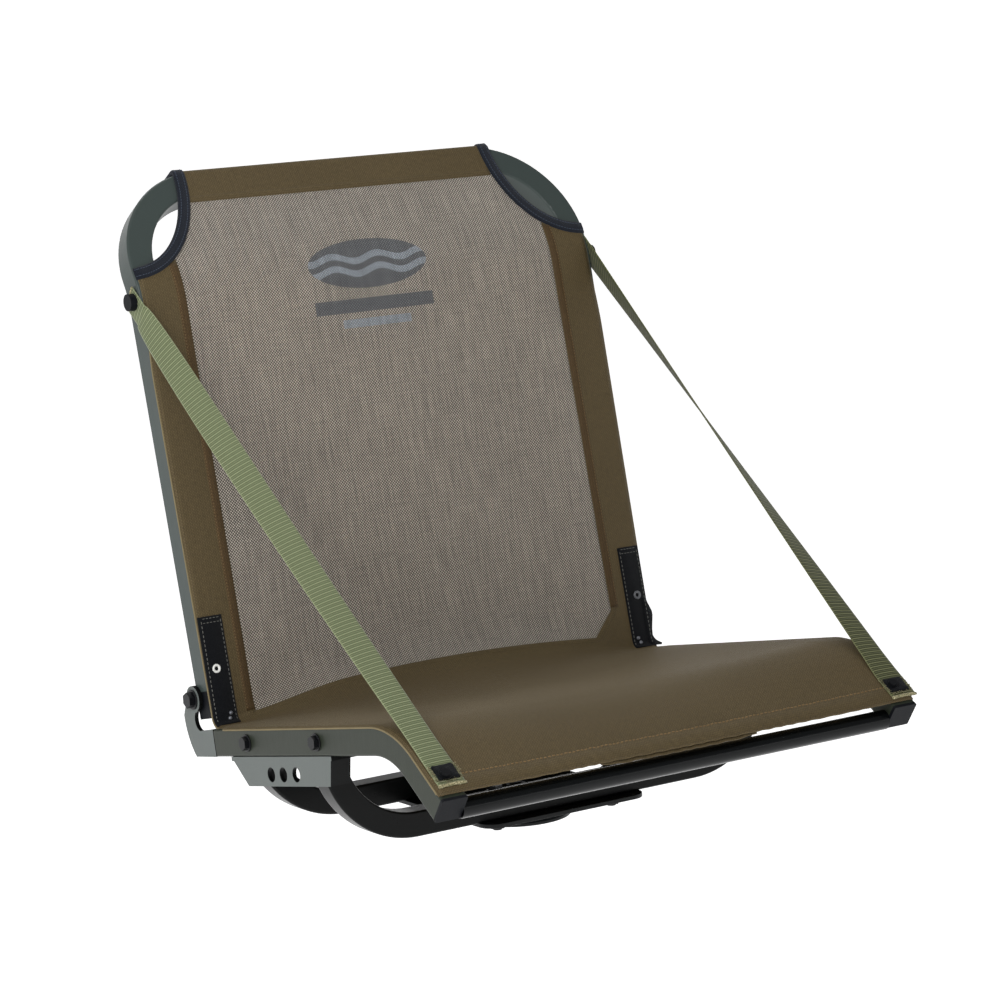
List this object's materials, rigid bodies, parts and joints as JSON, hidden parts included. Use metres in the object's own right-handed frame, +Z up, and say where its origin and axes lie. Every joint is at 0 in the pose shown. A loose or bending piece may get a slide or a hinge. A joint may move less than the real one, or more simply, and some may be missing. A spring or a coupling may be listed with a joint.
{
  "type": "folding swivel sling seat",
  "caption": "Low folding sling seat with square rails, webbing back stays and a ball-bearing swivel base for a blind or boat.",
  "frame": {"origin": "where the swivel axis meets the flat underside of the swivel base", "axes": "+Z up along the swivel axis, the seat faces -Y, +X across the seat to the sitter's left"},
  "size_m": [0.5234, 0.5699, 0.6143],
  "materials": {
    "frame_paint": "satin olive powder coat",
    "black_plastic": "moulded, matt",
    "black_hardware": "black oxide, satin",
    "swivel_finish": "black powder coat",
    "bearing_steel": "ground",
    "sling_brown": "coated woven sling cloth",
    "mesh_taupe": "open woven mesh",
    "binding_black": "stitched binding tape",
    "webbing_green": "ribbed webbing",
    "eyelet_white": "pressed ring"
  },
  "bodies": {
    "base": {"swivel_base": "swivel_finish", "swivel_pivot_bolt": "black_hardware", "swivel_pivot_washer": "black_hardware", "swivel_pivot_nut": "black_hardware"},
    "ball_ring": {"ball_cage": "black_plastic", "bearing_balls": "bearing_steel"},
    "seat": {"front_bar": "frame_paint", "front_hoop": "frame_paint", "hinge_bolts": "black_hardware", "hinge_bracket_left": "frame_paint", "hinge_bracket_right": "frame_paint", "hinge_nuts": "black_hardware", "hinge_washers": "black_hardware", "rail_bolts": "black_hardware", "rail_end_cap_left": "black_plastic", "rail_end_cap_right": "black_plastic", "rail_nuts": "black_hardware", "rail_washers": "black_hardware", "rear_hoop": "frame_paint", "seat_rail_left": "frame_paint", "seat_rail_right": "frame_paint", "seat_sling": "sling_brown", "side_bracket_left": "frame_paint", "side_bracket_right": "frame_paint", "sling_junction": "sling_brown", "strap_left": "webbing_green", "strap_pads": "binding_black", "strap_right": "webbing_green", "strap_screw_washers": "black_hardware", "strap_screws": "black_hardware", "swivel_bolts": "black_hardware", "swivel_nuts": "black_hardware", "swivel_plate": "swivel_finish", "swivel_washers": "black_hardware", "upper_race": "bearing_steel"},
    "backrest": {"back_frame": "frame_paint", "hinge_block_left": "black_plastic", "hinge_block_right": "black_plastic", "back_panel": "mesh_taupe", "back_border": "sling_brown", "corner_binding_left": "binding_black", "corner_binding_right": "binding_black", "edge_patch_left": "binding_black", "edge_patch_right": "binding_black", "patch_eyelets": "eyelet_white", "patch_rivets": "black_hardware", "strap_bolts": "black_hardware", "strap_bolt_caps": "black_plastic", "strap_bolt_nuts": "black_hardware"}
  },
  "joints": [
    {"name": "swivel_turn", "type": "hinge", "parent": "base", "child": "seat", "pos_m": [0, 0, 0.018], "axis": [0, 0, 1], "continuous": true},
    {"name": "cage_turn", "type": "hinge", "parent": "base", "child": "ball_ring", "pos_m": [0, 0, 0.0115], "axis": [0, 0, 1], "continuous": true},
    {"name": "back_fold", "type": "hinge", "parent": "seat", "child": "backrest", "pos_m": [0, 0.15, 0.1295], "axis": [1, 0, 0], "range_deg": [0, 90], "deforming": ["strap_left", "strap_right", "sling_junction", "edge_patch_left", "edge_patch_right"]}
  ],
  "couplings": [
    {"joint": "cage_turn", "follows": "swivel_turn", "ratio": 0.5}
  ]
}
